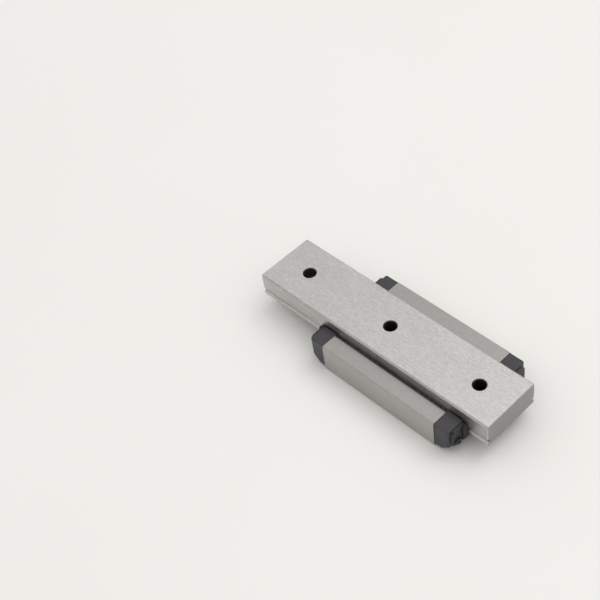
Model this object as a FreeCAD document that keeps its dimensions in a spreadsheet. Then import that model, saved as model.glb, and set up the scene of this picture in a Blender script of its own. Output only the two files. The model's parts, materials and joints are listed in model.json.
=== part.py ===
import FreeCAD, Part
import math
import os
import Sketcher

# A wide miniature linear guide: one ball carriage on a short length of rail.
# It lies upside down, as it is put on a bench: the carriage's mounting face is the plane
# Z = 0, facing down, with the origin at its centre. The rail runs along X above it, its base
# facing up. Lengths are in millimetres.

V = FreeCAD.Vector

# --------------------------------------------------------------------------------------
# Driving dimensions
# --------------------------------------------------------------------------------------

SIZES = {
    # Assembly
    "total_height": 12.0,       # carriage face to rail base
    "rail_end_x": 31.5,         # the rail's near end, from the carriage's centre
    # Rail
    "rail_length": 80.0,
    "rail_width": 18.0,
    "rail_height": 7.5,
    "hole_pitch": 30.0,
    "hole_margin": 10.0,        # rail end to the first hole
    "hole_diameter": 3.5,
    "counterbore_diameter": 6.0,
    "counterbore_depth": 4.5,
    "rail_base_edge": 0.45,     # chamfers
    "rail_head_edge": 0.25,
    "rail_end_edge": 0.2,
    "hole_edge": 0.2,
    "wire_slot_width": 0.64,
    "wire_slot_depth": 0.46,
    # Ball circuits
    "ball_diameter": 1.5875,
    "ball_pitch": 1.61,         # the least distance between neighbours' centres
    "track_offset": 9.25,       # ball centres from the middle plane
    "track_height": 6.2,        # ball centres above the carriage face
    "track_radius": 0.83,       # the ground grooves
    "turn_radius": 1.6,         # half the distance between the two lanes
    "tunnel_radius": 0.9,       # the moulded return lanes
    # Carriage block
    "block_length": 38.5,
    "block_width": 30.0,
    "block_height": 9.1,
    "channel_roof": 4.1,        # height of the channel's ceiling
    "channel_half": 9.5,        # middle plane to a leg's inner face
    "relief_width": 0.4,
    "relief_height": 0.8,
    "leg_chamfer": 0.8,
    "block_edge": 0.45,
    "bolt_spacing_x": 24.0,
    "bolt_spacing_y": 23.0,
    "tap_diameter": 2.5,        # M3 core
    "tap_depth": 3.0,
    "tap_edge": 0.2,
    "liner_diameter": 2.4,
    "liner_gap": 0.02,
    # End plates
    "end_length": 4.6,
    "end_inset": 0.2,
    "end_bottom": 1.0,          # height of the plate's lower face
    "end_channel_half": 9.35,
    "bevel_length": 1.85,       # the bevel between the plate's lower face and its end face
    "bevel_height": 1.8,
    "end_corner": 0.6,          # rounding of the upright corners
    "end_edge": 0.25,           # rounding of the upper edges
    "guide_radius": 1.25,
    "guide_height": 2.4,
    "guide_gap": 0.05,
    # End seals
    "seal_plate_thickness": 0.7,
    "seal_plate_inset": 0.8,
    "seal_plate_lift": 0.1,     # its lower edge above the end plate's bevel
    "seal_plate_corner": 0.8,
    "seal_plate_channel_half": 9.6,
    "seal_plate_channel_roof": 3.9,
    "lip_thickness": 0.8,
    "lip_width": 1.4,
    "lip_gap": 0.12,
    "lip_tongue_radius": 0.7,
    # End screws
    "screw_offset": 12.1,
    "screw_height": 4.0,
    "screw_radius": 0.7,
    "screw_gap": 0.03,
    "screw_bite": 3.5,          # length inside the steel block
    "screw_hole_spare": 0.5,
    "screw_head_radius": 1.05,
    "screw_head_height": 0.6,
    "screw_head_edge": 0.15,
    "recess_width": 0.3,
    "recess_length": 1.3,
    "recess_depth": 0.35,
    # Ball retaining wires
    "wire_radius": 0.18,
    "wire_offset": 8.22,
    "wire_bend": 0.5,
    "wire_leg": 0.9,            # straight part of each bent end
    "wire_slot_half": 0.26,     # half width of its slot in the end plate
    "wire_slot_spare": 0.1,
    "wire_end_gap": 0.05,
}

doc = FreeCAD.newDocument("LinearGuide")
sheet = doc.addObject("Spreadsheet::Sheet", "Sizes")
for row, (alias, value) in enumerate(SIZES.items(), start=1):
    sheet.set(f"A{row}", alias)
    sheet.set(f"B{row}", str(value))
    sheet.setAlias(f"B{row}", alias)
doc.recompute()


def size(alias):
    """A driving dimension, read back from the sheet."""
    return float(getattr(sheet, alias))


def linked(expression):
    """An expression in the sheet's aliases, with each alias given its sheet."""
    words = []
    for word in expression.replace("(", "( ").replace(")", " )").split():
        words.append(f"Sizes.{word}" if word in SIZES else word)
    return " ".join(words)


def bind(obj, prop, expression):
    obj.setExpression(prop, linked(expression))


# --------------------------------------------------------------------------------------
# Helpers for bodies and sketches
# --------------------------------------------------------------------------------------

def origin_feature(body, role):
    return next(item for item in body.Origin.OriginFeatures if item.Role == role)


def new_body(label):
    body = doc.addObject("PartDesign::Body", label)
    body.Label = label
    return body


def new_sketch(body, name, plane, offset="0"):
    """A sketch on one of the body's origin planes, moved along the plane's normal."""
    sketch = body.newObject("Sketcher::SketchObject", f"{body.Name}_{name}")
    sketch.AttachmentSupport = [(origin_feature(body, plane), "")]
    sketch.MapMode = "FlatFace"
    bind(sketch, "AttachmentOffset.Base.z", offset)
    return sketch


def constrain(sketch, name, constraint, expression):
    sketch.addConstraint(constraint)
    sketch.renameConstraint(sketch.ConstraintCount - 1, name)
    bind(sketch, f"Constraints.{name}", expression)


def add_rectangle(sketch, name, left, right, low, high):
    """A rectangle held by the signed distances of its sides from the sketch's origin."""
    first = sketch.GeometryCount
    corners = [V(0, 0), V(1, 0), V(1, 1), V(0, 1)]
    for start, end in zip(corners, corners[1:] + corners[:1]):
        sketch.addGeometry(Part.LineSegment(start, end), False)
    for side in range(4):
        sketch.addConstraint(Sketcher.Constraint("Coincident", first + side, 2, first + (side + 1) % 4, 1))
    for side, direction in enumerate(("Horizontal", "Vertical", "Horizontal", "Vertical")):
        sketch.addConstraint(Sketcher.Constraint(direction, first + side))
    for tag, kind, corner, expression in (
        ("left", "DistanceX", first, left),
        ("low", "DistanceY", first, low),
        ("right", "DistanceX", first + 2, right),
        ("high", "DistanceY", first + 2, high),
    ):
        held = Sketcher.Constraint(kind, -1, 1, corner, 1, 1.0)
        constrain(sketch, f"{name}_{tag}", held, expression)


def add_polygon(sketch, name, corners):
    """A closed outline of straight sides, each corner held by its signed place in the sketch."""
    first = sketch.GeometryCount
    count = len(corners)
    turns = [2 * math.pi * step / count for step in range(count)]
    ring = [V(math.cos(turn), math.sin(turn)) for turn in turns]
    for start, end in zip(ring, ring[1:] + ring[:1]):
        sketch.addGeometry(Part.LineSegment(start, end), False)
    for side in range(count):
        following = first + (side + 1) % count
        sketch.addConstraint(Sketcher.Constraint("Coincident", first + side, 2, following, 1))
    for side, (across, up) in enumerate(corners):
        for tag, kind, expression in (("across", "DistanceX", across), ("up", "DistanceY", up)):
            held = Sketcher.Constraint(kind, -1, 1, first + side, 1, 1.0)
            constrain(sketch, f"{name}_{side}_{tag}", held, expression)


def add_circle(sketch, name, across, up, radius):
    index = sketch.addGeometry(Part.Circle(V(1, 1), V(0, 0, 1), 1), False)
    constrain(sketch, f"{name}_radius", Sketcher.Constraint("Radius", index, 1.0), radius)
    constrain(sketch, f"{name}_across", Sketcher.Constraint("DistanceX", -1, 1, index, 3, 1.0), across)
    constrain(sketch, f"{name}_up", Sketcher.Constraint("DistanceY", -1, 1, index, 3, 1.0), up)


def add_pad(body, name, sketch, length, symmetric=False):
    pad = body.newObject("PartDesign::Pad", f"{body.Name}_{name}")
    pad.Profile = sketch
    pad.SideType = "Symmetric" if symmetric else "One side"
    bind(pad, "Length", length)
    doc.recompute()
    return pad


def add_cut(body, name, sketch, depth=None, toward_normal=False):
    """A pocket: right through both ways, or to a depth on one side of its sketch."""
    before = body.Shape.Volume
    pocket = body.newObject("PartDesign::Pocket", f"{body.Name}_{name}")
    pocket.Profile = sketch
    if depth is None:
        pocket.Type = "ThroughAll"
        pocket.SideType = "Symmetric"
    else:
        pocket.Reversed = toward_normal
        bind(pocket, "Length", depth)
    doc.recompute()
    if body.Shape.Volume > before - 1e-4:
        raise RuntimeError(f"{pocket.Name} cuts nothing")
    return pocket


def dress_edges(body, name, chosen, kind, prop, expression):
    """A chamfer or a fillet on the edges of the tip that the test chooses."""
    tip = body.Tip
    names = [f"Edge{number}" for number, edge in enumerate(tip.Shape.Edges, start=1) if chosen(edge)]
    if not names:
        raise RuntimeError(f"no edge for {body.Name}_{name}")
    dressing = body.newObject(kind, f"{body.Name}_{name}")
    dressing.Base = (tip, names)
    bind(dressing, prop, expression)
    doc.recompute()
    return dressing


def add_chamfer(body, name, chosen, width):
    return dress_edges(body, name, chosen, "PartDesign::Chamfer", "Size", width)


def add_fillet(body, name, chosen, radius):
    return dress_edges(body, name, chosen, "PartDesign::Fillet", "Radius", radius)


def mirror_in_middle_plane(body, name, features):
    """The same features on the other side of the plane Y = 0."""
    mirrored = body.newObject("PartDesign::Mirrored", f"{body.Name}_{name}")
    mirrored.Originals = features
    mirrored.MirrorPlane = (origin_feature(body, "XZ_Plane"), [""])
    body.Tip = mirrored
    doc.recompute()
    return mirrored


def near(value, target):
    return abs(value - target) < 1e-4


def straight_along(edge, axis):
    """Whether an edge is a straight line along one axis ("x", "y" or "z")."""
    if edge.Curve.TypeId != "Part::GeomLine":
        return False
    return near(abs(getattr(edge.Curve.Direction, axis)), 1.0)


def is_ring_at(edge, radius, height):
    """Whether an edge is a level circle of one radius at one height."""
    if edge.Curve.TypeId != "Part::GeomCircle":
        return False
    return near(edge.Curve.Radius, radius) and near(edge.Curve.Center.z, height)


# --------------------------------------------------------------------------------------
# Rail
# --------------------------------------------------------------------------------------

RAIL_HEAD = "total_height - rail_height"
RAIL_HALF = "rail_width / 2"


def make_rail():
    body = new_body("rail")
    section = new_sketch(body, "section", "YZ_Plane", "rail_end_x - rail_length")
    add_rectangle(section, "bar", f"-( {RAIL_HALF} )", RAIL_HALF, RAIL_HEAD, "total_height")
    add_pad(body, "bar", section, "rail_length")

    half = size("rail_width") / 2
    base_z = size("total_height")
    head_z = base_z - size("rail_height")

    def is_long_edge(edge, z):
        centre = edge.CenterOfMass
        return straight_along(edge, "x") and near(abs(centre.y), half) and near(centre.z, z)

    add_chamfer(body, "base_chamfer", lambda edge: is_long_edge(edge, base_z), "rail_base_edge")
    add_chamfer(body, "head_chamfer", lambda edge: is_long_edge(edge, head_z), "rail_head_edge")

    end_places = [size("rail_end_x"), size("rail_end_x") - size("rail_length")]

    def is_end_edge(edge):
        return any(all(near(vertex.X, x) for vertex in edge.Vertexes) for x in end_places)

    add_chamfer(body, "end_chamfer", is_end_edge, "rail_end_edge")

    tracks = new_sketch(body, "tracks", "YZ_Plane")
    for side, sign in (("right", "-"), ("left", "")):
        add_circle(tracks, side, f"{sign}( track_offset )", "track_height", "track_radius")
    add_cut(body, "tracks", tracks)

    # A slot at the bottom of each track clears the wire that keeps the balls in.
    slots = new_sketch(body, "wire_slots", "YZ_Plane")
    floor = "track_offset - track_radius - wire_slot_depth"
    low = "track_height - wire_slot_width / 2"
    high = "track_height + wire_slot_width / 2"
    add_rectangle(slots, "left", floor, "track_offset", low, high)
    add_rectangle(slots, "right", "-( track_offset )", f"-( {floor} )", low, high)
    add_cut(body, "wire_slots", slots)

    first_hole = "rail_end_x - hole_margin"
    bore = new_sketch(body, "bore", "XY_Plane")
    add_circle(bore, "bore", first_hole, "0", "hole_diameter / 2")
    through = add_cut(body, "bore", bore)
    seat = new_sketch(body, "seat", "XY_Plane", RAIL_HEAD)
    add_circle(seat, "seat", first_hole, "0", "counterbore_diameter / 2")
    counterbore = add_cut(body, "counterbore", seat, "counterbore_depth", toward_normal=True)

    pattern = body.newObject("PartDesign::LinearPattern", "rail_hole_pattern")
    pattern.Originals = [through, counterbore]
    pattern.Direction = (origin_feature(body, "X_Axis"), [""])
    pattern.Reversed = True
    pattern.Occurrences = 3
    bind(pattern, "Length", "hole_pitch * 2")
    body.Tip = pattern
    doc.recompute()

    def is_hole_rim(edge):
        return is_ring_at(edge, size("hole_diameter") / 2, size("total_height"))

    add_chamfer(body, "hole_chamfer", is_hole_rim, "hole_edge")
    return body


# --------------------------------------------------------------------------------------
# Carriage block
# --------------------------------------------------------------------------------------

OPEN_TOP = "block_height + 1"   # past the legs, for a channel that is open there


def make_block():
    body = new_body("carriage_block")
    section = new_sketch(body, "section", "YZ_Plane")
    add_rectangle(section, "bar", "-( block_width / 2 )", "block_width / 2", "0", "block_height")
    add_pad(body, "bar", section, "block_length", symmetric=True)

    channel = new_sketch(body, "channel", "YZ_Plane")
    add_rectangle(channel, "channel", "-( channel_half )", "channel_half", "channel_roof", OPEN_TOP)
    add_cut(body, "channel", channel)

    half_width = size("block_width") / 2
    height = size("block_height")

    def is_inner_leg_edge(edge):
        centre = edge.CenterOfMass
        return (straight_along(edge, "x") and near(abs(centre.y), size("channel_half"))
                and near(centre.z, height))

    def is_outer_edge(edge):
        centre = edge.CenterOfMass
        return straight_along(edge, "x") and near(abs(centre.y), half_width)

    add_chamfer(body, "leg_chamfer", is_inner_leg_edge, "leg_chamfer")
    add_chamfer(body, "outer_chamfer", is_outer_edge, "block_edge")

    reliefs = new_sketch(body, "reliefs", "YZ_Plane")
    deep = "channel_half + relief_width"
    top = "channel_roof + relief_height"
    inside = "channel_half - relief_width"
    add_rectangle(reliefs, "left", inside, deep, "channel_roof", top)
    add_rectangle(reliefs, "right", f"-( {deep} )", f"-( {inside} )", "channel_roof", top)
    add_cut(body, "reliefs", reliefs)

    lanes = new_sketch(body, "lanes", "YZ_Plane")
    for side, sign in (("left", ""), ("right", "-")):
        add_circle(lanes, f"{side}_track", f"{sign}( track_offset )", "track_height", "track_radius")
        add_circle(lanes, f"{side}_return", f"{sign}( track_offset + turn_radius * 2 )",
                   "track_height", "liner_diameter / 2")
    add_cut(body, "lanes", lanes)

    # The tapped holes are blind and start at the mounting face.
    taps = new_sketch(body, "taps", "XY_Plane")
    for number, (sign_x, sign_y) in enumerate((("", ""), ("-", ""), ("", "-"), ("-", "-"))):
        add_circle(taps, f"tap{number}", f"{sign_x}( bolt_spacing_x / 2 )",
                   f"{sign_y}( bolt_spacing_y / 2 )", "tap_diameter / 2")
    add_cut(body, "taps", taps, "tap_depth", toward_normal=True)

    def is_tap_rim(edge):
        return is_ring_at(edge, size("tap_diameter") / 2, 0)

    add_chamfer(body, "tap_chamfer", is_tap_rim, "tap_edge")

    for side, sign, toward_normal in (("front", "", False), ("rear", "-", True)):
        ends = new_sketch(body, f"{side}_screw_holes", "YZ_Plane", f"{sign}( block_length / 2 )")
        for name, side_sign in (("left", ""), ("right", "-")):
            across = f"{side_sign}( screw_offset )"
            add_circle(ends, name, across, "screw_height", "screw_radius + screw_gap")
        add_cut(body, f"{side}_screw_holes", ends, "screw_bite + screw_hole_spare", toward_normal)
    return body


# --------------------------------------------------------------------------------------
# End plates, return guides and liners
# --------------------------------------------------------------------------------------

BLOCK_HALF = "block_length / 2"
END_FACE = "block_length / 2 + end_length"
TURN_CENTRE = "track_offset + turn_radius"


def make_end_plate(label, turn):
    """A moulded end plate: it carries both ball turns and lets the rail through."""
    body = new_body(label)
    section = new_sketch(body, "section", "XZ_Plane")
    top = "block_height - end_inset"
    add_polygon(section, "side", [
        (BLOCK_HALF, "end_bottom"),
        (f"{END_FACE} - bevel_length", "end_bottom"),
        (END_FACE, "end_bottom + bevel_height"),
        (END_FACE, top),
        (BLOCK_HALF, top),
    ])
    add_pad(body, "bar", section, "block_width - end_inset * 2", symmetric=True)

    inner_x = size("block_length") / 2
    top_z = size("block_height") - size("end_inset")

    def is_corner(edge):
        if straight_along(edge, "x") or straight_along(edge, "y"):
            return False
        return all(vertex.X > inner_x + size("end_length") / 2 for vertex in edge.Vertexes)

    add_fillet(body, "corners", is_corner, "end_corner")

    def is_top_edge(edge):
        at_top = all(near(vertex.Z, top_z) for vertex in edge.Vertexes)
        return at_top and not all(near(vertex.X, inner_x) for vertex in edge.Vertexes)

    add_fillet(body, "top_edges", is_top_edge, "end_edge")

    channel = new_sketch(body, "channel", "YZ_Plane")
    add_rectangle(channel, "channel", "-( end_channel_half )", "end_channel_half",
                  "channel_roof", OPEN_TOP)
    add_cut(body, "channel", channel)

    # Each turn is half a ring: a round lane swept about an upright line.
    lane = new_sketch(body, "turn", "YZ_Plane", BLOCK_HALF)
    add_circle(lane, "lane", "track_offset + turn_radius * 2", "track_height", "tunnel_radius")
    axis = lane.addGeometry(Part.LineSegment(V(1, 0), V(1, 10)), True)
    lane.addConstraint(Sketcher.Constraint("Vertical", axis))
    constrain(lane, "axis_across", Sketcher.Constraint("DistanceX", -1, 1, axis, 1, 1.0), TURN_CENTRE)
    doc.recompute()
    turned = body.newObject("PartDesign::Groove", f"{label}_turn_lane")
    turned.Profile = lane
    turned.ReferenceAxis = (lane, ["Axis0"])
    turned.Angle = 360
    doc.recompute()

    seat = new_sketch(body, "guide_seat", "XY_Plane", "track_height - guide_height / 2 - guide_gap")
    add_circle(seat, "seat", BLOCK_HALF, TURN_CENTRE, "guide_radius + guide_gap")
    seated = add_cut(body, "guide_seat", seat, "guide_height + guide_gap * 2", toward_normal=True)

    # The retaining wire's bent end lies in a slot that the seal plate covers.
    slot = new_sketch(body, "wire_slot", "YZ_Plane", END_FACE)
    slot_end = "wire_offset + wire_bend + wire_leg + wire_slot_spare"
    add_rectangle(slot, "slot", "end_channel_half - wire_radius", slot_end,
                  "track_height - wire_slot_half", "track_height + wire_slot_half")
    slotted = add_cut(body, "wire_slot", slot, "wire_slot_half * 2")

    hole = new_sketch(body, "screw_hole", "YZ_Plane", END_FACE)
    add_circle(hole, "hole", "screw_offset", "screw_height", "screw_radius + screw_gap")
    drilled = add_cut(body, "screw_hole", hole, "end_length")

    mirror_in_middle_plane(body, "mirror", [turned, seated, slotted, drilled])
    body.Placement = FreeCAD.Placement(V(0, 0, 0), FreeCAD.Rotation(V(0, 0, 1), turn))
    return body


def make_primitive(kind, name, sizes, base=(None, None, None), rotation=None):
    """A Part primitive with its sizes, and where they are given its place, bound to the sheet."""
    primitive = doc.addObject(kind, name)
    if rotation is not None:
        primitive.Placement = FreeCAD.Placement(V(0, 0, 0), rotation)
    for prop, expression in sizes.items():
        bind(primitive, prop, expression)
    for axis, expression in zip("xyz", base):
        if expression is not None:
            bind(primitive, f"Placement.Base.{axis}", expression)
    return primitive


ALONG_X = FreeCAD.Rotation(V(0, 1, 0), 90)


def make_return_guide(label, turn, sign):
    """The half drum that forms the inner wall of one ball turn."""
    drum = make_primitive(
        "Part::Cylinder", f"{label}_drum",
        {"Radius": "guide_radius", "Height": "guide_height"},
        (None, None, "track_height - guide_height / 2"), FreeCAD.Rotation(V(0, 0, 1), -90))
    drum.Angle = 180
    lane = make_primitive(
        "Part::Torus", f"{label}_lane",
        {"Radius1": "turn_radius", "Radius2": "tunnel_radius"}, (None, None, "track_height"))
    guide = doc.addObject("Part::Cut", label)
    guide.Base = drum
    guide.Tool = lane
    guide.Label = label
    centre = V(size("block_length") / 2, sign * (size("track_offset") + size("turn_radius")), 0)
    about_z = FreeCAD.Placement(V(0, 0, 0), FreeCAD.Rotation(V(0, 0, 1), turn))
    guide.Placement = about_z.multiply(FreeCAD.Placement(centre, FreeCAD.Rotation()))
    return guide


def make_liner(label, sign):
    """The plastic tube that lines a return bore."""
    across = f"{sign}( track_offset + turn_radius * 2 )"
    place = (f"-( {BLOCK_HALF} )", across, "track_height")
    outer = make_primitive(
        "Part::Cylinder", f"{label}_outer",
        {"Radius": "liner_diameter / 2 - liner_gap", "Height": "block_length"}, place, ALONG_X)
    inner = make_primitive(
        "Part::Cylinder", f"{label}_inner",
        {"Radius": "tunnel_radius", "Height": "block_length"}, place, ALONG_X)
    liner = doc.addObject("Part::Cut", label)
    liner.Base = outer
    liner.Tool = inner
    liner.Label = label
    return liner


# --------------------------------------------------------------------------------------
# End seals and screws
# --------------------------------------------------------------------------------------

def make_seal_plate(label, turn):
    body = new_body(label)
    section = new_sketch(body, "section", "YZ_Plane", END_FACE)
    half = "block_width / 2 - end_inset - seal_plate_inset"
    add_rectangle(section, "plate", f"-( {half} )", half, "end_bottom + bevel_height + seal_plate_lift",
                  "block_height - end_inset - seal_plate_inset / 2")
    add_pad(body, "plate", section, "seal_plate_thickness")
    half_width = size("block_width") / 2 - size("end_inset") - size("seal_plate_inset")

    def is_corner(edge):
        return straight_along(edge, "x") and near(abs(edge.CenterOfMass.y), half_width)

    add_chamfer(body, "corners", is_corner, "seal_plate_corner")
    openings = new_sketch(body, "openings", "YZ_Plane", END_FACE)
    add_rectangle(openings, "channel", "-( seal_plate_channel_half )", "seal_plate_channel_half",
                  "seal_plate_channel_roof", OPEN_TOP)
    add_cut(body, "openings", openings)
    holes = new_sketch(body, "holes", "YZ_Plane", END_FACE)
    for name, sign in (("left", ""), ("right", "-")):
        add_circle(holes, name, f"{sign}( screw_offset )", "screw_height", "screw_radius + screw_gap")
    add_cut(body, "holes", holes)
    body.Placement = FreeCAD.Placement(V(0, 0, 0), FreeCAD.Rotation(V(0, 0, 1), turn))
    return body


def make_seal_lip(label, turn):
    """The rubber wiper: it follows the rail's outline, tongues in the tracks included."""
    body = new_body(label)
    face = f"{END_FACE} + seal_plate_thickness"
    gap_half = f"{RAIL_HALF} + lip_gap"
    section = new_sketch(body, "section", "YZ_Plane", face)
    add_rectangle(section, "ring", f"-( {gap_half} + lip_width )", f"{gap_half} + lip_width",
                  f"{RAIL_HEAD} - lip_gap - lip_width", "block_height - end_inset - seal_plate_inset")
    add_pad(body, "ring", section, "lip_thickness")

    half_width = size("rail_width") / 2 + size("lip_gap") + size("lip_width")
    outer_x = body.Shape.BoundBox.XMax
    low_z = body.Shape.BoundBox.ZMin

    def is_front_edge(edge):
        centre = edge.CenterOfMass
        return near(centre.x, outer_x) and (near(abs(centre.y), half_width) or near(centre.z, low_z))

    add_chamfer(body, "bevel", is_front_edge, "lip_thickness / 2")
    channel = new_sketch(body, "channel", "YZ_Plane")
    add_rectangle(channel, "channel", f"-( {gap_half} )", gap_half, f"{RAIL_HEAD} - lip_gap", OPEN_TOP)
    add_cut(body, "channel", channel)
    tongues = new_sketch(body, "tongues", "YZ_Plane", face)
    for name, sign in (("left", ""), ("right", "-")):
        add_circle(tongues, name, f"{sign}( track_offset )", "track_height", "lip_tongue_radius")
    add_pad(body, "tongues", tongues, "lip_thickness")
    body.Placement = FreeCAD.Placement(V(0, 0, 0), FreeCAD.Rotation(V(0, 0, 1), turn))
    return body


def screw_shape():
    """A cheese-head screw pointing along -X, its head seated on the plane X = 0."""
    head_height = size("screw_head_height")
    reach = size("seal_plate_thickness") + size("end_length") + size("screw_bite")
    head = Part.makeCylinder(size("screw_head_radius"), head_height, V(0, 0, 0), V(1, 0, 0))
    rim = [edge for edge in head.Edges if near(edge.CenterOfMass.x, head_height)]
    head = head.makeChamfer(size("screw_head_edge"), rim)
    shank = Part.makeCylinder(size("screw_radius"), reach, V(0, 0, 0), V(-1, 0, 0))
    screw = head.fuse(shank).removeSplitter()
    long_side = size("recess_length")
    short_side = size("recess_width")
    for across, up in ((long_side, short_side), (short_side, long_side)):
        corner = V(head_height - size("recess_depth"), -across / 2, -up / 2)
        screw = screw.cut(Part.makeBox(head_height, across, up, corner))
    return screw


def make_screws(label, turn):
    screw = screw_shape()
    seat_x = size("block_length") / 2 + size("end_length") + size("seal_plate_thickness")
    copies = []
    for sign in (1, -1):
        placed = screw.copy()
        placed.translate(V(seat_x, sign * size("screw_offset"), size("screw_height")))
        copies.append(placed)
    group = doc.addObject("Part::Feature", label)
    group.Label = label
    group.Shape = Part.makeCompound(copies)
    group.Placement = FreeCAD.Placement(V(0, 0, 0), FreeCAD.Rotation(V(0, 0, 1), turn))
    return group


# --------------------------------------------------------------------------------------
# Balls and retaining wires
# --------------------------------------------------------------------------------------

def circuit_points():
    """Ball centres round the left circuit, split into the loaded lane and the rest.

    A circuit is two straight lanes joined by two half circles. The balls fill it evenly,
    as many as leave a little play between neighbours.
    """
    radius = size("turn_radius")
    straight = size("block_length")
    half_turn = math.pi * radius
    total = 2 * (straight + half_turn)
    count = int(total / size("ball_pitch"))
    loaded = []
    returning = []
    for number in range(count):
        travel = (number + 0.5) * total / count
        if travel < straight:
            loaded.append(V(travel - straight / 2, 0, 0))
            continue
        if travel < straight + half_turn:
            angle = (travel - straight) / radius
            point = V(straight / 2 + radius * math.sin(angle), radius * (1 - math.cos(angle)), 0)
        elif travel < 2 * straight + half_turn:
            point = V(straight / 2 - (travel - straight - half_turn), 2 * radius, 0)
        else:
            angle = (travel - 2 * straight - half_turn) / radius
            point = V(-straight / 2 - radius * math.sin(angle), radius * (1 + math.cos(angle)), 0)
        returning.append(point)
    return loaded, returning


def make_balls(label, points, turn):
    track = V(0, size("track_offset"), size("track_height"))
    balls = [Part.makeSphere(size("ball_diameter") / 2, point + track) for point in points]
    group = doc.addObject("Part::Feature", label)
    group.Label = label
    group.Shape = Part.makeCompound(balls)
    group.Placement = FreeCAD.Placement(V(0, 0, 0), FreeCAD.Rotation(V(0, 0, 1), turn))
    return group


def make_wire(label, turn):
    """A straight wire along the bottom of the track, its ends bent outward into the end plates."""
    bend = size("wire_bend")
    offset = size("wire_offset")
    leg_x = size("block_length") / 2 + size("end_length") - size("wire_radius") - size("wire_end_gap")
    corner = bend * (1 - math.cos(math.radians(45)))
    height = size("track_height")
    runs = []
    for sign in (-1, 1):
        tip = V(sign * leg_x, offset + bend + size("wire_leg"), height)
        leg_end = V(sign * leg_x, offset + bend, height)
        middle = V(sign * (leg_x - corner), offset + corner, height)
        run_end = V(sign * (leg_x - bend), offset, height)
        runs.append((tip, leg_end, middle, run_end))
    (tip, leg_end, middle, run_end), (far_tip, far_leg, far_middle, far_run) = runs
    path = Part.Wire([
        Part.LineSegment(tip, leg_end).toShape(),
        Part.Arc(leg_end, middle, run_end).toShape(),
        Part.LineSegment(run_end, far_run).toShape(),
        Part.Arc(far_run, far_middle, far_leg).toShape(),
        Part.LineSegment(far_leg, far_tip).toShape(),
    ])
    ring = Part.Wire([Part.Circle(tip, V(0, 1, 0), size("wire_radius")).toShape()])
    wire = doc.addObject("Part::Feature", label)
    wire.Label = label
    wire.Shape = path.makePipeShell([ring], True, False)
    wire.Placement = FreeCAD.Placement(V(0, 0, 0), FreeCAD.Rotation(V(0, 0, 1), turn))
    return wire


# --------------------------------------------------------------------------------------
# The assembly
# --------------------------------------------------------------------------------------

pieces = [make_rail(), make_block()]
for end_name, end_turn in (("front", 0), ("rear", 180)):
    pieces.append(make_end_plate(f"{end_name}_end_plate", end_turn))
    pieces.append(make_seal_plate(f"{end_name}_seal_plate", end_turn))
    pieces.append(make_seal_lip(f"{end_name}_seal_lip", end_turn))
    pieces.append(make_screws(f"{end_name}_end_screws", end_turn))
    for side_name, side_sign in (("left", 1), ("right", -1)):
        # A plate turned half round has its two sides the other way about.
        local_sign = side_sign if end_turn == 0 else -side_sign
        pieces.append(make_return_guide(f"{end_name}_{side_name}_return_guide", end_turn, local_sign))

loaded_points, returning_points = circuit_points()
for side_name, side_turn, side_sign in (("left", 0, ""), ("right", 180, "-")):
    pieces.append(make_liner(f"{side_name}_return_liner", side_sign))
    pieces.append(make_balls(f"{side_name}_loaded_balls", loaded_points, side_turn))
    pieces.append(make_balls(f"{side_name}_return_balls", returning_points, side_turn))
    pieces.append(make_wire(f"{side_name}_ball_wire", side_turn))

doc.recompute()

# --------------------------------------------------------------------------------------
# Checks and export
# --------------------------------------------------------------------------------------

for item in doc.Objects:
    if "Invalid" in item.State or "Error" in item.State:
        raise RuntimeError(f"{item.Name} is {item.State}")

os.makedirs("parts", exist_ok=True)
for piece in pieces:
    shape = piece.Shape
    if shape.isNull() or not shape.isValid() or shape.Volume <= 0:
        raise RuntimeError(f"{piece.Label} has no valid shape")
    shape.exportStep(f"parts/{piece.Label}.step")
    box = shape.BoundBox
    print(f"{piece.Label:28s} {len(shape.Solids):3d} solids {shape.Volume:10.2f} mm3  "
          f"x {box.XMin:7.2f} {box.XMax:7.2f}  y {box.YMin:7.2f} {box.YMax:7.2f}  "
          f"z {box.ZMin:6.2f} {box.ZMax:6.2f}")
print(len(pieces), "pieces")
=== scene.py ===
import json
import math

import bpy
from mathutils import Matrix, Vector

# A wide miniature linear guide lying upside down: black end caps and a ground steel block
# under a short rail. The CAD nodes carry the shapes; this script gives them their materials,
# and adds the floor, the lights and the camera.

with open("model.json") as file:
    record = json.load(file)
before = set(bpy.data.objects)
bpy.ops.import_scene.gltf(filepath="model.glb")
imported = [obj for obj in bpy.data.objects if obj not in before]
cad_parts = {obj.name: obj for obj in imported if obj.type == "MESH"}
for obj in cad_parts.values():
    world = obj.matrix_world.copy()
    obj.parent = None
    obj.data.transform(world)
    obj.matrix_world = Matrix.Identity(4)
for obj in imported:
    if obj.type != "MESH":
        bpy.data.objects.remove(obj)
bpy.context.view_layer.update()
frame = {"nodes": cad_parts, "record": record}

MM = 0.001
WHEEL_CENTRE = (0, 25, -140)    # of the wheel that cut the rail off, in millimetres


# --------------------------------------------------------------------------------------
# Node helpers
# --------------------------------------------------------------------------------------

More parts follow.
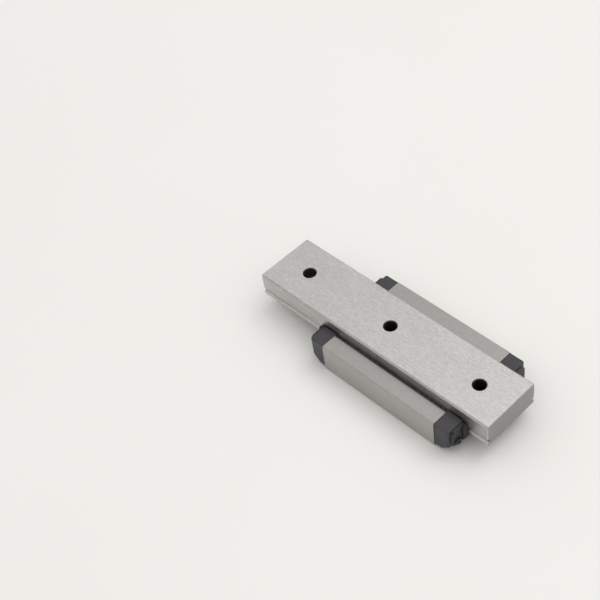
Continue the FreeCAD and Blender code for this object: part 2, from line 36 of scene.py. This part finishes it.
class Shader:
    """A material and short calls that add nodes to it."""

    def __init__(self, name):
        self.material = bpy.data.materials.new(name)
        self.material.use_nodes = True
        self.tree = self.material.node_tree
        self.bsdf = self.tree.nodes["Principled BSDF"]
        coords = self.add("ShaderNodeTexCoord")
        scaled = self.add("ShaderNodeVectorMath", operation="SCALE")
        scaled.inputs["Scale"].default_value = 1 / MM
        self.tree.links.new(coords.outputs["Object"], scaled.inputs[0])
        self.place = scaled.outputs[0]

    def add(self, kind, **settings):
        node = self.tree.nodes.new(kind)
        for key, value in settings.items():
            setattr(node, key, value)
        return node

    def put(self, source, target):
        """Sets a socket to a value or links an output to it."""
        if isinstance(source, bpy.types.NodeSocket):
            self.tree.links.new(source, target)
        else:
            target.default_value = source

    def stretched(self, factors):
        """The place in millimetres, multiplied along each axis."""
        node = self.add("ShaderNodeMapping")
        node.inputs["Scale"].default_value = factors
        self.put(self.place, node.inputs["Vector"])
        return node.outputs[0]

    def noise(self, vector, scale=1.0, detail=3.0, rough=0.5, distortion=0.0):
        node = self.add("ShaderNodeTexNoise")
        self.put(vector, node.inputs["Vector"])
        settings = {"Scale": scale, "Detail": detail, "Roughness": rough, "Distortion": distortion}
        for name, value in settings.items():
            node.inputs[name].default_value = value
        return node.outputs["Fac"]

    def ramp(self, value, low, high, to_low=0.0, to_high=1.0):
        """A smooth step of the value from one range to another."""
        node = self.add("ShaderNodeMapRange")
        node.interpolation_type = "SMOOTHSTEP"
        self.put(value, node.inputs["Value"])
        settings = {"From Min": low, "From Max": high, "To Min": to_low, "To Max": to_high}
        for name, number in settings.items():
            self.put(number, node.inputs[name])
        return node.outputs[0]

    def math(self, operation, first, second=0.0):
        node = self.add("ShaderNodeMath", operation=operation)
        self.put(first, node.inputs[0])
        self.put(second, node.inputs[1])
        return node.outputs[0]

    def mix(self, factor, first, second):
        node = self.add("ShaderNodeMix", data_type="RGBA")
        self.put(factor, node.inputs["Factor"])
        self.put(first, node.inputs["A"])
        self.put(second, node.inputs["B"])
        return node.outputs["Result"]

    def bump(self, height, depth, strength=1.0, base=None):
        node = self.add("ShaderNodeBump")
        node.inputs["Strength"].default_value = strength
        node.inputs["Distance"].default_value = depth * MM
        self.put(height, node.inputs["Height"])
        if base is not None:
            self.put(base, node.inputs["Normal"])
        return node.outputs[0]

    def edges(self, radius, low=0.02, high=0.25):
        """A mask that is 1 along the piece's edges."""
        geometry = self.add("ShaderNodeNewGeometry")
        dot = self.add("ShaderNodeVectorMath", operation="DOT_PRODUCT")
        self.put(self.rounded(radius), dot.inputs[0])
        self.put(geometry.outputs["Normal"], dot.inputs[1])
        away = self.math("SUBTRACT", 1.0, dot.outputs["Value"])
        return self.ramp(away, low, high)

    def facing(self, axis, both_ways=True):
        """A mask that is 1 on faces square to one axis, or only on those that face its way."""
        coords = self.add("ShaderNodeTexCoord")
        split = self.add("ShaderNodeSeparateXYZ")
        self.put(coords.outputs["Normal"], split.inputs[0])
        part = split.outputs["xyz".index(axis)]
        if both_ways:
            part = self.math("ABSOLUTE", part)
        return self.ramp(part, 0.9, 0.97)

    def near_holes(self, first_x, pitch, row_y, radius, top):
        """A mask that is 1 inside upright cylinders up to a height, a pitch apart along X.

        They stand in one row on the middle line, or in two rows row_y either side of it.
        """
        split = self.add("ShaderNodeSeparateXYZ")
        self.put(self.place, split.inputs[0])
        along = self.add("ShaderNodeMath", operation="WRAP")
        self.put(self.math("SUBTRACT", split.outputs["X"], first_x), along.inputs[0])
        along.inputs[1].default_value = pitch / 2
        along.inputs[2].default_value = -pitch / 2
        across = self.math("SUBTRACT", self.math("ABSOLUTE", split.outputs["Y"]), row_y)
        along_squared = self.math("POWER", along.outputs[0], 2.0)
        square = self.math("ADD", along_squared, self.math("POWER", across, 2.0))
        inside = self.math("LESS_THAN", self.math("SQRT", square), radius)
        return self.math("MULTIPLY", inside, self.math("LESS_THAN", split.outputs["Z"], top))

    def wheel_marks(self):
        """Shallow arcs about a far centre below the piece, as a cut-off wheel leaves them."""
        centre = self.add("ShaderNodeVectorMath", operation="SUBTRACT")
        self.put(self.stretched((0, 1, 1)), centre.inputs[0])
        centre.inputs[1].default_value = WHEEL_CENTRE
        length = self.add("ShaderNodeVectorMath", operation="LENGTH")
        self.put(centre.outputs[0], length.inputs[0])
        combined = self.add("ShaderNodeCombineXYZ")
        self.put(length.outputs["Value"], combined.inputs[0])
        return self.noise(combined.outputs[0], scale=7.0, detail=4.0, rough=0.7)

    def rounded(self, radius):
        """The surface's normal with its edges rounded over a radius in millimetres."""
        bevel = self.add("ShaderNodeBevel", samples=6)
        bevel.inputs["Radius"].default_value = radius * MM
        return bevel.outputs[0]

    def finish(self, colour, roughness, metallic, normal=None, **sockets):
        self.put(colour, self.bsdf.inputs["Base Color"])
        self.put(roughness, self.bsdf.inputs["Roughness"])
        self.put(metallic, self.bsdf.inputs["Metallic"])
        if normal is not None:
            self.put(normal, self.bsdf.inputs["Normal"])
        for name, value in sockets.items():
            self.bsdf.inputs[name.replace("_", " ")].default_value = value
        return self.material


def rgb(red, green, blue):
    return (red, green, blue, 1.0)


def shade(colour, factor):
    """The same colour, lighter or darker."""
    return [min(1.0, value * factor) for value in colour[:3]] + [1.0]


def along_axis(axis, along, across):
    """Three factors: one along an axis, the other across it."""
    return [along if name == axis else across for name in "xyz"]


# --------------------------------------------------------------------------------------
# Materials
# --------------------------------------------------------------------------------------

HOLE_SCALE = rgb(0.075, 0.072, 0.078)


def ground_steel(name, colour, roughness, along, hole_mask, cut_across=None, unground=None):
    """Surface-ground steel: a fine matt grain and faint lines along one axis, with soft clouding.

    hole_mask(shader) marks the drilled holes, which are left dark by hardening. cut_across names
    the axis whose end faces were cut off. unground names the axis along which the faces that
    were left as hardened look.
    """
    shader = Shader(name)
    fine = shader.noise(shader.stretched(along_axis(along, 0.15, 6.0)), detail=4.0, rough=0.65)
    grain = shader.noise(shader.place, scale=5.0, detail=4.0, rough=0.75)
    mottle = shader.noise(shader.stretched(along_axis(along, 0.8, 2.4)), detail=3.0, rough=0.8)
    clouds = shader.noise(shader.stretched((0.09, 0.14, 0.14)), detail=4.0, rough=0.6, distortion=0.5)
    pits = shader.noise(shader.place, scale=2.6, detail=3.0, rough=0.7)

    tone = 0.0
    for layer, low, high, share in ((fine, 0.36, 0.64, 0.26), (grain, 0.34, 0.66, 0.22),
                                    (mottle, 0.34, 0.66, 0.42), (clouds, 0.30, 0.70, 0.10)):
        tone = shader.math("ADD", tone, shader.math("MULTIPLY", shader.ramp(layer, low, high), share))
    body = shader.mix(tone, shade(colour, 0.70), shade(colour, 1.14))
    speck = shader.ramp(pits, 0.64, 0.72)
    body = shader.mix(shader.math("MULTIPLY", speck, 0.30), body, shade(colour, 0.55))
    body = shader.mix(shader.math("MULTIPLY", shader.edges(0.10), 0.20), body, shade(colour, 1.25))
    gloss = shader.math("ADD", shader.ramp(clouds, 0.3, 0.7, roughness - 0.02, roughness + 0.03),
                        shader.ramp(mottle, 0.3, 0.7, -0.05, 0.05))
    normal = shader.bump(fine, 0.0022, 0.6, shader.rounded(0.08))
    normal = shader.bump(grain, 0.0022, 0.5, normal)

    if unground:
        hard = shader.facing(unground, both_ways=False)
        body = shader.mix(shader.math("MULTIPLY", hard, 0.55), body, shade(colour, 0.58))
    if cut_across:
        ends = shader.facing(cut_across)
        arcs = shader.wheel_marks()
        cut = shader.mix(shader.ramp(arcs, 0.25, 0.75), shade(colour, 0.54), shade(colour, 0.66))
        body = shader.mix(ends, body, cut)
        gloss = shader.math("ADD", gloss, shader.math("MULTIPLY", ends, 0.08))
        normal = shader.bump(shader.math("MULTIPLY", arcs, ends), 0.003, 0.5, normal)
    holes = hole_mask(shader)
    scale = shader.mix(shader.ramp(mottle, 0.35, 0.65), HOLE_SCALE, shade(HOLE_SCALE, 1.6))
    body = shader.mix(holes, body, scale)
    gloss = shader.math("ADD", gloss, shader.math("MULTIPLY", holes, 0.12))
    return shader.finish(body, gloss, 1.0, normal)


MOUNTS = {mount["name"]: mount for mount in frame["record"]["mounts"]}
HOLE_RIM = 0.23             # a hole's chamfer, in millimetres, with a little over
SEAT_RADIUS = 3.02          # the screw heads' seats in the rail
SEAT_FLOOR = 9.05           # just past their floor, above the carriage's face
TAP_DEPTH = 3.05            # just past the tapped holes' ends
ABOVE_ALL = 100.0


def rail_holes(shader):
    """The rail's through holes with their chamfers, and the screw heads' seats."""
    mount = MOUNTS["rail_bolts_near"]
    pitch = mount["dims"]["spacing_x_mm"]
    first_x = mount["pos_m"][0] / MM + pitch / 2
    bores = shader.near_holes(first_x, pitch, 0.0, mount["dims"]["hole_r_mm"] + HOLE_RIM, ABOVE_ALL)
    seats = shader.near_holes(first_x, pitch, 0.0, SEAT_RADIUS, SEAT_FLOOR)
    return shader.math("MAXIMUM", bores, seats)


def carriage_taps(shader):
    """The tapped holes in the carriage's face."""
    dims = MOUNTS["carriage_bolts"]["dims"]
    pitch = dims["spacing_x_mm"]
    radius = dims["hole_r_mm"] + HOLE_RIM
    return shader.near_holes(pitch / 2, pitch, dims["spacing_y_mm"] / 2, radius, TAP_DEPTH)


def moulded_resin(name, colour, light, roughness, grain=0.012):
    """Moulded plastic with a fine sparked texture and slightly paler worn edges."""
    shader = Shader(name)
    grit = shader.noise(shader.place, scale=9.0, detail=4.0, rough=0.7)
    flow = shader.noise(shader.stretched((0.25, 0.5, 0.5)), detail=3.0, distortion=0.8)
    body = shader.mix(shader.ramp(flow, 0.3, 0.7, 0.0, 0.35), colour, light)
    rub = shader.edges(0.14)
    body = shader.mix(shader.math("MULTIPLY", rub, 0.5), body, light)
    sheen = shader.math("ADD", shader.ramp(flow, 0.3, 0.7, roughness - 0.05, roughness + 0.08),
                        shader.ramp(grit, 0.3, 0.7, -0.04, 0.04))
    normal = shader.bump(grit, grain, 0.6, shader.rounded(0.12))
    return shader.finish(body, sheen, 0.0, normal, IOR=1.5)


def seal_rubber():
    shader = Shader("seal_rubber")
    bloom = shader.noise(shader.place, scale=0.9, detail=4.0, rough=0.6)
    grit = shader.noise(shader.place, scale=14.0, detail=3.0)
    body = shader.mix(shader.ramp(bloom, 0.4, 0.75), rgb(0.016, 0.016, 0.018), rgb(0.038, 0.038, 0.041))
    normal = shader.bump(grit, 0.008, 0.5, shader.rounded(0.1))
    return shader.finish(body, shader.ramp(bloom, 0.3, 0.7, 0.62, 0.8), 0.0, normal, IOR=1.52)


def polished_steel(name, colour, roughness):
    """Balls and drawn wire: bright, with an oil film that varies the gloss."""
    shader = Shader(name)
    film = shader.noise(shader.place, scale=1.4, detail=3.0)
    body = shader.mix(shader.ramp(film, 0.35, 0.7), colour, shade(colour, 0.82))
    scuffs = shader.noise(shader.place, scale=22.0, detail=3.0)
    normal = shader.bump(scuffs, 0.001, 0.3)
    return shader.finish(body, shader.ramp(film, 0.3, 0.7, roughness * 0.7, roughness * 1.5), 1.0, normal)


def screw_steel():
    """Blackened screws, rubbed to bare steel on their edges."""
    shader = Shader("screw_steel")
    turned = shader.noise(shader.stretched((9.0, 1.2, 1.2)), detail=3.0)
    body = shader.mix(shader.ramp(turned, 0.35, 0.65), rgb(0.03, 0.03, 0.032), rgb(0.07, 0.07, 0.075))
    rub = shader.edges(0.08)
    body = shader.mix(shader.math("MULTIPLY", rub, 0.7), body, rgb(0.35, 0.34, 0.33))
    normal = shader.bump(turned, 0.004, 0.6, shader.rounded(0.05))
    return shader.finish(body, shader.ramp(turned, 0.3, 0.7, 0.3, 0.45), 0.9, normal)


RAIL_STEEL = rgb(0.575, 0.56, 0.55)
BLOCK_STEEL = rgb(0.50, 0.48, 0.465)
BLACK_RESIN = rgb(0.030, 0.028, 0.033), rgb(0.055, 0.052, 0.060)
BLACK_COATING = rgb(0.022, 0.022, 0.025), rgb(0.04, 0.04, 0.043)
WHITE_RESIN = rgb(0.72, 0.70, 0.66), rgb(0.82, 0.80, 0.76)

MATERIALS = {
    "rail_steel": ground_steel("rail_steel", RAIL_STEEL, 0.40, "x", rail_holes, cut_across="x"),
    "block_steel": ground_steel("block_steel", BLOCK_STEEL, 0.44, "y", carriage_taps, unground="z"),
    "end_resin": moulded_resin("end_resin", *BLACK_RESIN, 0.42),
    "seal_backing": moulded_resin("seal_backing", *BLACK_COATING, 0.5),
    "guide_resin": moulded_resin("guide_resin", *WHITE_RESIN, 0.4),
    "seal_rubber": seal_rubber(),
    "screw_steel": screw_steel(),
    "ball_steel": polished_steel("ball_steel", rgb(0.78, 0.78, 0.79), 0.08),
    "wire_steel": polished_steel("wire_steel", rgb(0.66, 0.66, 0.67), 0.2),
}

slot_of_node = {part["node"]: part["material_slot"] for part in frame["record"]["subparts"]}
for node_name, node in frame["nodes"].items():
    for holder in node.material_slots:
        holder.material = MATERIALS[slot_of_node[node_name]]


# --------------------------------------------------------------------------------------
# Floor and light
# --------------------------------------------------------------------------------------

LIGHT_TARGET = Vector((0, 0, 0.006))
FLOOR_DROP = 0.00002        # keeps the floor just clear of the object's lowest face


def make_floor(half):
    """A flat sheet, big enough to fill every view."""
    mesh = bpy.data.meshes.new("floor")
    corners = [(-half, -half, 0), (half, -half, 0), (half, half, 0), (-half, half, 0)]
    mesh.from_pydata(corners, [], [(0, 1, 2, 3)])
    floor = bpy.data.objects.new("floor", mesh)
    bpy.context.collection.objects.link(floor)
    floor.location.z = -FLOOR_DROP
    shader = Shader("floor_paper")
    cloud = shader.noise(shader.stretched((0.01, 0.01, 0.01)), detail=2.0)
    grain = shader.noise(shader.place, scale=1.1, detail=4.0)
    tone = shader.mix(shader.ramp(cloud, 0.3, 0.7), rgb(0.860, 0.850, 0.822), rgb(0.870, 0.860, 0.834))
    shader.finish(tone, 0.62, 0.0, shader.bump(grain, 0.01, 0.3))
    mesh.materials.append(shader.material)


def direction_from(azimuth, elevation):
    """The way from the object to a place round it; azimuth 0 is on the -Y side."""
    a, e = math.radians(azimuth), math.radians(elevation)
    return Vector((math.sin(a) * math.cos(e), -math.cos(a) * math.cos(e), math.sin(e)))


def make_light(name, azimuth, elevation, distance, width, power):
    """A square soft light at an azimuth and elevation round the object."""
    back = direction_from(azimuth, elevation)
    data = bpy.data.lights.new(name, "AREA")
    data.shape = "SQUARE"
    data.size = width
    data.energy = power
    light = bpy.data.objects.new(name, data)
    bpy.context.collection.objects.link(light)
    light.location = LIGHT_TARGET + back * distance
    light.rotation_mode = "QUATERNION"
    light.rotation_quaternion = (-back).to_track_quat("-Z", "Y")


def make_world(horizon, zenith):
    """A plain pale room: dimmer level with the object than overhead."""
    world = bpy.data.worlds.new("studio")
    world.use_nodes = True
    tree = world.node_tree
    background = tree.nodes["Background"]
    background.inputs["Color"].default_value = (1.0, 0.995, 0.985, 1.0)
    direction = tree.nodes.new("ShaderNodeTexCoord")
    split = tree.nodes.new("ShaderNodeSeparateXYZ")
    climb = tree.nodes.new("ShaderNodeMapRange")
    climb.interpolation_type = "SMOOTHSTEP"
    settings = {"From Min": 0.05, "From Max": 0.75, "To Min": horizon, "To Max": zenith}
    for name, value in settings.items():
        climb.inputs[name].default_value = value
    tree.links.new(direction.outputs["Generated"], split.inputs[0])
    tree.links.new(split.outputs["Z"], climb.inputs["Value"])
    tree.links.new(climb.outputs[0], background.inputs["Strength"])
    bpy.context.scene.world = world


make_floor(9.0)
make_world(horizon=0.38, zenith=0.95)
make_light("key", 165, 64, 1.0, 0.7, 2.2)


# --------------------------------------------------------------------------------------
# Camera
# --------------------------------------------------------------------------------------

CAMERA_AZIMUTH = 52.84
CAMERA_ELEVATION = 47.36
CAMERA_ROLL = -9.95
CAMERA_LENS = 72.9          # on a 36 mm wide sensor
CAMERA_DISTANCE = 0.335
CAMERA_TARGET = Vector((-0.03786, -0.00541, 0.006))


def make_camera():
    back = direction_from(CAMERA_AZIMUTH, CAMERA_ELEVATION)
    data = bpy.data.cameras.new("camera")
    data.lens = CAMERA_LENS
    data.sensor_width = 36.0
    data.clip_start = 0.01
    data.clip_end = 20.0
    camera = bpy.data.objects.new("camera", data)
    bpy.context.collection.objects.link(camera)
    level = (-back).to_track_quat("-Z", "Y").to_matrix()
    rolled = level @ Matrix.Rotation(math.radians(CAMERA_ROLL), 3, "Z")
    camera.rotation_mode = "QUATERNION"
    camera.rotation_quaternion = rolled.to_quaternion()
    camera.location = CAMERA_TARGET + back * CAMERA_DISTANCE
    bpy.context.scene.camera = camera


make_camera()

bpy.context.scene.view_settings.view_transform = "Standard"
